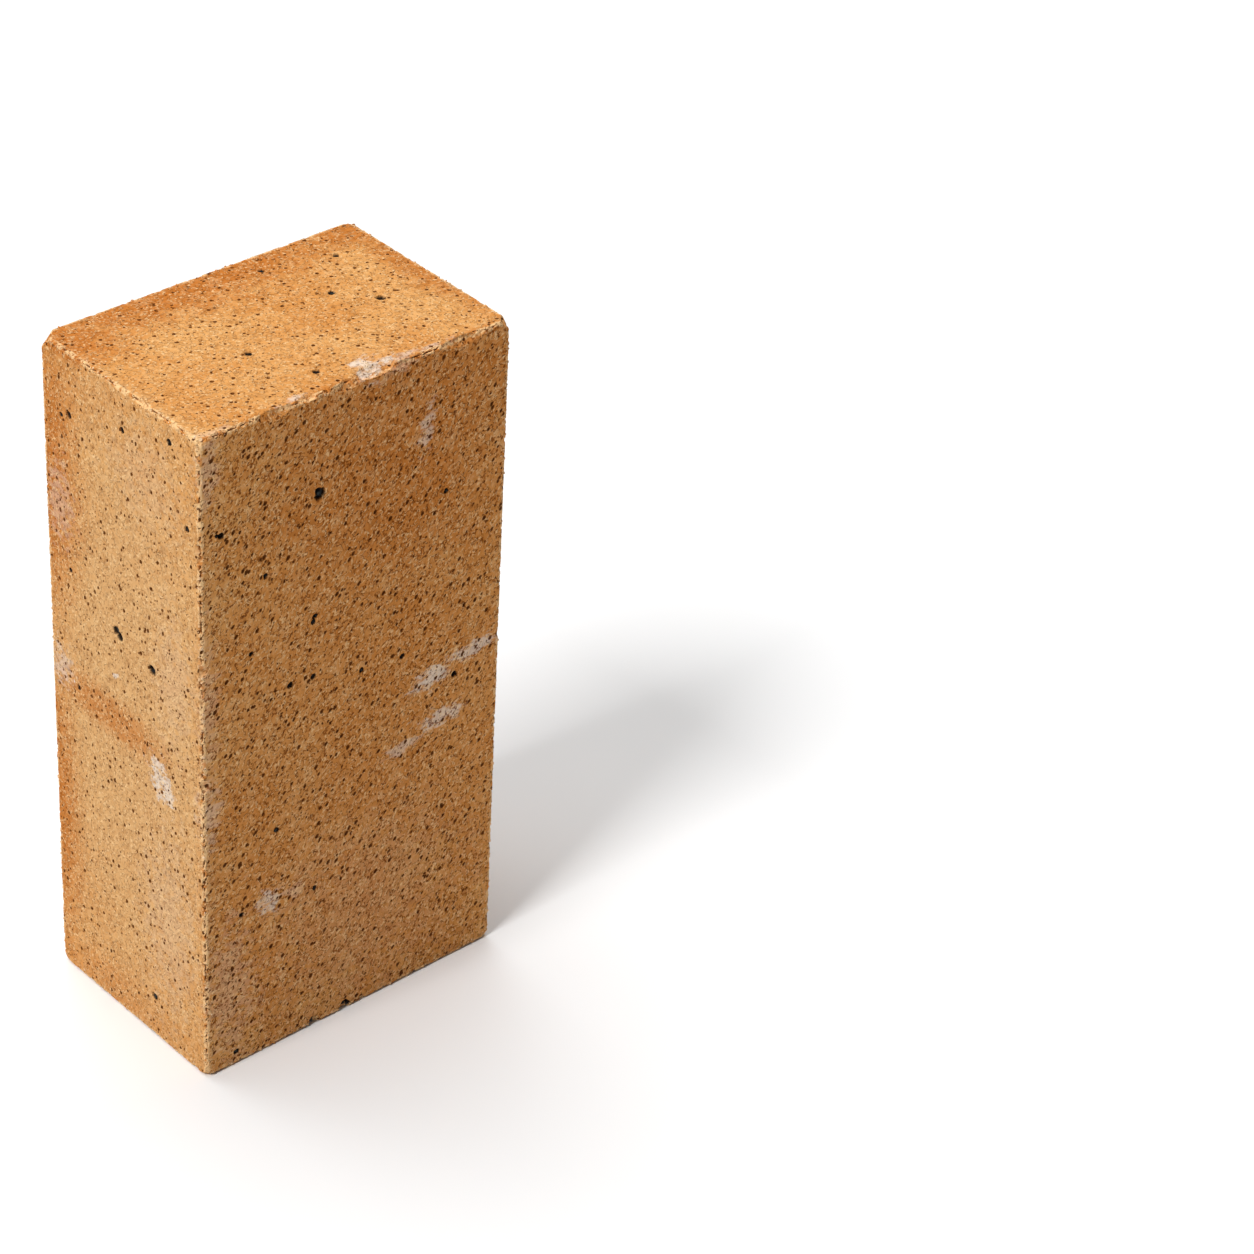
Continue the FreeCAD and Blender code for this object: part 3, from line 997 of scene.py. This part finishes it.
def fired_clay_material():
    """Open, matt clay over the body colour: mottling, worn rims partly painted as highlight, flecks and
    gaps partly painted as highlight and shade, pores and pinholes partly painted as shade, and nicks
    painted as shade.
    """
    material, tree, shader, place = new_material("fired_clay")
    colour = group(tree, clay_colour, {"Vector": place}).outputs["Color"]
    mottle = noise(tree, along_flow(tree, place, 1.3), MOTTLE_SIZE, 2.0, 0.6)
    colour = tint(tree, colour, ease(tree, mottle, 0.5, 0.7), SHARE["pale mottling"], FLECK_AND_HIGHLIGHT)
    colour = tint(tree, colour, ease(tree, mottle, 0.48, 0.28), SHARE["dark mottling"], GAP_AND_SHADE)
    colour = worn_and_highlit_rims(tree, colour, place)

    texture = group(tree, grain, {"Vector": place, "Size": GRAIN_SIZE})
    # The two bed faces, the shaded front among them, take more dark strokes: painted shade.
    gaps = calc(tree, "MULTIPLY_ADD", on_bed(tree, place), SHARE["more gaps as painted shade on the beds"], SHARE["gaps"])
    pinhole = ease(tree, pore_pattern(tree, place, *SMALL_PORES), 0.0, 0.3)
    pore = ease(tree, pore_pattern(tree, place, *LARGE_PORES), 0.0, 0.25)
    dropped = add(tree, "ShaderNodeAttribute", attribute_name=NICK_SHADE_NOTE).outputs["Fac"]
    for mask, share, over in (
        (texture.outputs["Light"], SHARE["flecks"], FLECK_AND_HIGHLIGHT),
        (texture.outputs["Dark"], gaps, GAP_AND_SHADE),
        (pinhole, SHARE["pinholes"], PINHOLE_STAIN_AND_SHADE),
        (pore, SHARE["pores"], PORE_STAIN_AND_SHADE),
        # Where grains dropped from an arris and in every marked hollow, the clay is darkened: painted
        # shade.
        (ease(tree, dropped, 0.4, 0.8), SHARE["painted shade in nicks"], PINHOLE_STAIN_AND_SHADE),
        (group(tree, slag, {"Vector": place}).outputs[0], SHARE["slag"], SLAG),
    ):
        colour = tint(tree, colour, mask, share, over)

    fill(shader.inputs["Base Color"], colour)
    rough = calc(tree, "MULTIPLY_ADD", texture.outputs["Light"], -0.15, 0.95)
    fill(shader.inputs["Roughness"], rough)
    shader.inputs["Specular IOR Level"].default_value = 0.0
    relief = calc(tree, "MULTIPLY_ADD", pinhole, -0.6, texture.outputs["Height"])
    add_relief(tree, shader, relief, GRAIN_RELIEF, 1.0)
    return material


fired_clay = fired_clay_material()
print("fired clay:", len(fired_clay.node_tree.nodes), "nodes")

# %% [markdown]
# ## Grog and melted iron
#
# Two more finishes are needed for the grains that get bedded in the skin. Grog was fired
# before, so it is paler and harder than the clay round it. Iron ore melts in the kiln and sets
# as a dark slag with a dull shine. Both take their fine mottling from the grain group.

# %% Materials: grog and melted iron
GROG_TONES = {
    "Pale": (0.84, 0.56, 0.30, 1),
    "Warm": (0.78, 0.47, 0.22, 1),
    "Ashen": (0.84, 0.60, 0.35, 1),
}
GROG_LIGHT = (0.95, 0.78, 0.55, 1)
GROG_DARK = (0.4, 0.2, 0.08, 1)
IRON_BLACK = (0.006, 0.005, 0.005, 1)
IRON_GREY = (0.035, 0.042, 0.038, 1)


def grog_material():
    """Grains of old brick that was fired before: paler than the clay round them."""
    material, tree, shader, place = new_material("grog")
    colour = group(tree, clay_colour, {"Vector": place, **GROG_TONES}).outputs["Color"]
    texture = group(tree, grain, {"Vector": place, "Size": 0.5})
    # The grain's pale and dark strokes are partly painted highlight and painted shade here too.
    colour = tint(tree, colour, texture.outputs["Light"], 0.8, GROG_LIGHT)
    colour = tint(tree, colour, texture.outputs["Dark"], 0.5, GROG_DARK)
    fill(shader.inputs["Base Color"], colour)
    shader.inputs["Roughness"].default_value = 0.85
    shader.inputs["Specular IOR Level"].default_value = 0.1
    add_relief(tree, shader, texture.outputs["Height"], 0.08, 0.8)
    return material


def iron_material():
    """Iron ore that melted and set as a dark, dull slag."""
    material, tree, shader, place = new_material("melted_iron")
    texture = group(tree, grain, {"Vector": place, "Size": 1.4})
    colour = blend_colours(tree, texture.outputs["Light"], IRON_BLACK, IRON_GREY)
    fill(shader.inputs["Base Color"], colour)
    shader.inputs["Roughness"].default_value = 0.6
    shader.inputs["Specular IOR Level"].default_value = 0.15
    add_relief(tree, shader, texture.outputs["Height"], 0.1, 0.8)
    return material


grog = grog_material()
iron = iron_material()
print("materials:", [material.name for material in bpy.data.materials])

# %% [markdown]
# ## The worn brick
#
# With its tree and its finish ready, the skin can be pressed. It could be one shade smooth all
# over, but then a broken edge would look melted. Edges that bend by more than a set angle are
# marked sharp instead, and the gentle waves between them stay smooth with no more triangles.

# %% Weather the brick
SHARP_ANGLE = math.radians(40)

skin = weather(merged_copy("firebrick", "brick_skin"), fired_clay)
skin.data.set_sharp_from_angle(angle=SHARP_ANGLE)
print("skin", len(skin.data.polygons), "triangles")

# %% [markdown]
# ## Loose grain shapes
#
# A crushed grain is an angular pebble. Twelve random corners and the skin that a rubber band
# would make round them, their convex hull, give one with about twenty small faces. Three
# such shapes, turned and scaled at random, look like thousands of different ones.

# %% Make three grain shapes
GRAIN_SHAPES = 3
GRAIN_CORNERS = 12
GRAIN_SEED = 11


def grain_shapes():
    """A collection of angular pebbles of radius one."""
    draw = random.Random(GRAIN_SEED)
    shapes = bpy.data.collections.new("grain_shapes")
    for count in range(GRAIN_SHAPES):
        shape = bmesh.new()
        for corner in range(GRAIN_CORNERS):
            way = Vector((draw.gauss(0, 1), draw.gauss(0, 1), draw.gauss(0, 1))).normalized()
            shape.verts.new(way * draw.uniform(0.8, 1.0))
        bmesh.ops.convex_hull(shape, input=shape.verts)
        inner = [corner for corner in shape.verts if not corner.link_faces]
        bmesh.ops.delete(shape, geom=inner, context="VERTS")
        bmesh.ops.recalc_face_normals(shape, faces=shape.faces)
        mesh = bpy.data.meshes.new(f"grain_shape_{count}")
        shape.to_mesh(mesh)
        shape.free()
        shapes.objects.link(bpy.data.objects.new(mesh.name, mesh))
    return shapes


shapes = grain_shapes()

# %% [markdown]
# ## Bedding grains in the skin
#
# Grog stands a little proud where the clay round it has worn, and crumbs cling to the arrises.
# Thousands of grains could be set by a particle system or by hand. Geometry Nodes scatter them
# over the skin instead, never nearer than a given spacing. Each is sunk by a share of its own
# radius and turned at random, and a band keeps the crumbs beside the arrises. What would stand
# out of the brick's faces is pressed flat, as the mould did it.

# %% Tree that beds grains in the skin
# No grain stands nearer than this to the CAD box, in millimetres.
PRESSED_MARGIN = 0.02
# The higher this is, the fewer grains come near the largest radius.
GRAIN_RARITY = 2.5


def keep_in_box(tree, geometry):
    """Flattens what would stand out of the CAD box, as the press did."""
    margin = Vector((PRESSED_MARGIN * MM,) * 3)
    held = vector(tree, "MINIMUM", here(tree), high - margin)
    held = vector(tree, "MAXIMUM", held, low + margin)
    return add(tree, "GeometryNodeSetPosition", {"Geometry": geometry, "Position": held}).outputs[0]


def pebbles_on(tree, points, shapes, radius, seed, material):
    """A solid pebble on each point, picked and turned at random, inside the box and painted."""
    inputs = {"Collection": shapes, "Separate Children": True, "Reset Children": True}
    kinds = add(tree, "GeometryNodeCollectionInfo", inputs).outputs[0]
    inputs = {"Min": (0.0, 0.0, 0.0), "Max": (math.tau, math.tau, math.tau), "Seed": seed}
    spin = add(tree, "FunctionNodeRandomValue", inputs, data_type="FLOAT_VECTOR").outputs["Value"]
    inputs = {"Points": points, "Instance": kinds, "Pick Instance": True, "Rotation": spin, "Scale": radius}
    pebbles = add(tree, "GeometryNodeInstanceOnPoints", inputs).outputs[0]
    solid = add(tree, "GeometryNodeRealizeInstances", {"Geometry": pebbles}).outputs[0]
    noted = note_place(tree, keep_in_box(tree, solid))
    return add(tree, "GeometryNodeSetMaterial", {"Geometry": noted, "Material": material}).outputs[0]


def sink(tree, points, way, depth):
    """Moves points along a way by a depth in metres."""
    inputs = {"Geometry": points, "Offset": scaled(tree, way, depth)}
    return add(tree, "GeometryNodeSetPosition", inputs).outputs[0]


def bedding_tree():
    """Scatters grains over a skin, sunk in it, everywhere or only beside the arrises."""
    inputs = {
        "Geometry": ("Geometry", None),
        "Shapes": ("Collection", None),
        "Spacing": ("Float", 3.0),
        "Density": ("Float", 30000.0),
        "Band": ("Float", 0.0),
        "Smallest": ("Float", 0.3),
        "Largest": ("Float", 0.8),
        "Sunk": ("Float", 0.6),
        "Seed": ("Int", 1),
        "Material": ("Material", None),
    }
    tree, given, result = new_tree("bedding", "GeometryNodeTree", inputs, {"Geometry": "Geometry"})
    near = ease(tree, beside_arris(tree, here(tree)), 0.0, given["Band"], 1.0, 0.0)
    everywhere = calc(tree, "LESS_THAN", given["Band"], 0.001)
    inputs = {
        "Mesh": given["Geometry"],
        "Distance Min": calc(tree, "MULTIPLY", given["Spacing"], MM),
        "Density Max": given["Density"],
        "Density Factor": calc(tree, "MAXIMUM", near, everywhere),
        "Seed": given["Seed"],
    }
    kind = "GeometryNodeDistributePointsOnFaces"
    scatter = add(tree, kind, inputs, distribute_method="POISSON").outputs
    inputs = {"Min": 0.0, "Max": 1.0, "Seed": given["Seed"]}
    luck = add(tree, "FunctionNodeRandomValue", inputs, data_type="FLOAT").outputs["Value"]
    span = calc(tree, "SUBTRACT", given["Largest"], given["Smallest"])
    radius = calc(tree, "MULTIPLY_ADD", calc(tree, "POWER", luck, GRAIN_RARITY), span, given["Smallest"])
    radius = calc(tree, "MULTIPLY", radius, MM)
    depth = calc(tree, "MULTIPLY", calc(tree, "MULTIPLY", radius, given["Sunk"]), -1.0)
    sunk = sink(tree, scatter["Points"], scatter["Normal"], depth)
    grains = pebbles_on(tree, sunk, given["Shapes"], radius, given["Seed"], given["Material"])
    fill(result[0], grains)
    return tree


bedding = bedding_tree()
print("bedding tree of", len(bedding.nodes), "nodes")

# %% [markdown]
# ## Grog on the faces, crumbs on the arrises
#
# One tree serves three times, with other numbers. Grog lies thin all over the brick. On the
# arrises it lies closer, because the clay between the grains has broken away there, and small
# crumbs of the clay itself fill the gaps. Each scatter becomes a plain mesh of its own.

# %% Bed the grog and the crumbs
# Spacing, band, radii and depth are in millimetres or shares of a radius, density per m2.
BEDDED = {
    "grog_grains": {
        "Spacing": 4.0, "Density": 50000.0, "Smallest": 0.2, "Largest": 0.7,
        "Sunk": 0.8, "Seed": 3, "Material": grog,
    },
    "arris_grog": {
        "Spacing": 1.2, "Density": 800000.0, "Band": 2.2, "Smallest": 0.3, "Largest": 0.85,
        "Sunk": 0.25, "Seed": 9, "Material": grog,
    },
    "arris_crumbs": {
        "Spacing": 0.9, "Density": 1000000.0, "Band": 2.4, "Smallest": 0.2, "Largest": 0.6,
        "Sunk": 0.5, "Seed": 5, "Material": fired_clay,
    },
}


def bed_grains(name, values):
    """Runs the bedding tree over a copy of the skin and keeps the grains as a plain mesh."""
    carrier = bpy.data.objects.new(name, skin.data)
    bpy.context.scene.collection.objects.link(carrier)
    scatter = carrier.modifiers.new("bedding", "NODES")
    scatter.node_group = bedding
    set_inputs(scatter, {"Shapes": shapes, **values})
    grains = plain_mesh(carrier, name)
    carrier.modifiers.clear()
    carrier.data = grains
    print(name, len(grains.polygons), "faces")
    return carrier


bedded = [bed_grains(name, values) for name, values in BEDDED.items()]

# %% [markdown]
# ## The melted iron
#
# Iron ore in the clay melts before the clay does. It leaves a hollow that is lined with black
# slag, and often a drop of it stays at the bottom. The marked hollows already have their
# radius and their way in, so the same loose points can carry one lump each, and a hollow and
# its lump can't drift apart when a number changes.

# %% Set the melted iron in its hollows
SPIN_SEED = 2


def iron_tree():
    """One lump in each marked hollow that iron lines, as wide as the hollow and sunk in it."""
    inputs = {
        "Geometry": ("Geometry", None),
        "Shapes": ("Collection", None),
        "Width": ("Float", 0.85),
        "Sunk": ("Float", 0.9),
        "Material": ("Material", None),
    }
    tree, given, result = new_tree("iron_lumps", "GeometryNodeTree", inputs, {"Geometry": "Geometry"})
    inputs = {"Mesh": given["Geometry"], "Selection": carried(tree, "has_iron", "BOOLEAN")}
    points = add(tree, "GeometryNodeMeshToPoints", inputs).outputs[0]
    radius = carried(tree, "hollow_radius", "FLOAT")
    way_in = carried(tree, "way_in", "FLOAT_VECTOR")
    sunk = sink(tree, points, way_in, calc(tree, "MULTIPLY", radius, given["Sunk"]))
    width = calc(tree, "MULTIPLY", radius, given["Width"])
    fill(result[0], pebbles_on(tree, sunk, given["Shapes"], width, SPIN_SEED, given["Material"]))
    return tree


lumps = marks.modifiers.new("lumps", "NODES")
lumps.node_group = iron_tree()
set_inputs(lumps, {"Shapes": shapes, "Material": iron})
iron_spots = bpy.data.objects.new("iron_spots", plain_mesh(marks, "iron_spots"))
bpy.context.scene.collection.objects.link(iron_spots)
print("iron spots", len(iron_spots.data.polygons), "faces")

# %% [markdown]
# ## Floor and light
#
# The brick stands on white paper in a studio. A large lamp high on the left lights the top and
# the narrow face, and a wider one overhead lights the paper, whose glow fills the shaded face.
# Big lamps give soft shadows. The paper is so bright that it fades to plain white.

# %% Floor, lamps and sky
FLOOR = 8.0
PAPER_WHITE = 0.92
PAPER_ROUGHNESS = 0.9
SKY_STRENGTH = 0.1


def add_paper():
    """A wide sheet of matt white paper at the foot of the brick."""
    mesh = bpy.data.meshes.new("floor")
    corners = [(-FLOOR, -FLOOR, 0), (FLOOR, -FLOOR, 0), (FLOOR, FLOOR, 0), (-FLOOR, FLOOR, 0)]
    mesh.from_pydata(corners, [], [(0, 1, 2, 3)])
    paper = bpy.data.materials.new("paper")
    paper.use_nodes = True
    shader = paper.node_tree.nodes["Principled BSDF"]
    shader.inputs["Base Color"].default_value = (PAPER_WHITE, PAPER_WHITE, PAPER_WHITE, 1)
    shader.inputs["Roughness"].default_value = PAPER_ROUGHNESS
    mesh.materials.append(paper)
    sheet = bpy.data.objects.new("floor", mesh)
    bpy.context.scene.collection.objects.link(sheet)
    return sheet


def add_softbox(name, place, aim, side, power):
    """Adds a square area lamp that looks at a point."""
    lamp = bpy.data.lights.new(name, "AREA")
    lamp.shape = "SQUARE"
    lamp.size = side
    lamp.energy = power
    box = bpy.data.objects.new(name, lamp)
    way = Vector(aim) - Vector(place)
    box.matrix_world = Matrix.Translation(place) @ way.to_track_quat("-Z", "Y").to_matrix().to_4x4()
    bpy.context.scene.collection.objects.link(box)


def add_sky():
    """Adds a faint, even white light from all round."""
    world = bpy.data.worlds.new("studio")
    world.use_nodes = True
    bpy.context.scene.world = world
    sky = world.node_tree.nodes["Background"]
    sky.inputs["Color"].default_value = (1, 1, 1, 1)
    sky.inputs["Strength"].default_value = SKY_STRENGTH


floor = add_paper()
add_softbox("key_light", place=(-3.9, -0.5, 5.2), aim=(0, 0, 0.12), side=1.8, power=300)
add_softbox("overhead_light", place=(0.2, 2.0, 5.2), aim=(0.2, 0.8, 0), side=4.5, power=232)
add_sky()
bpy.context.scene.view_settings.view_transform = "Standard"
print("lamps:", [light.name for light in bpy.data.lights], "on", FLOOR * 2, "m of paper")

# %% [markdown]
# ## Handing the pieces over
#
# The helper objects have done their work and go. Every piece that stays rides on the brick's
# one body, and the skin stands for the CAD node.

# %% Hand the pieces over
bpy.data.objects.remove(marks)
for shape in list(shapes.objects):
    bpy.data.objects.remove(shape)
bpy.data.collections.remove(shapes)
for piece in (skin, *bedded, iron_spots):
    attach(piece, "root")
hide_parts("firebrick")
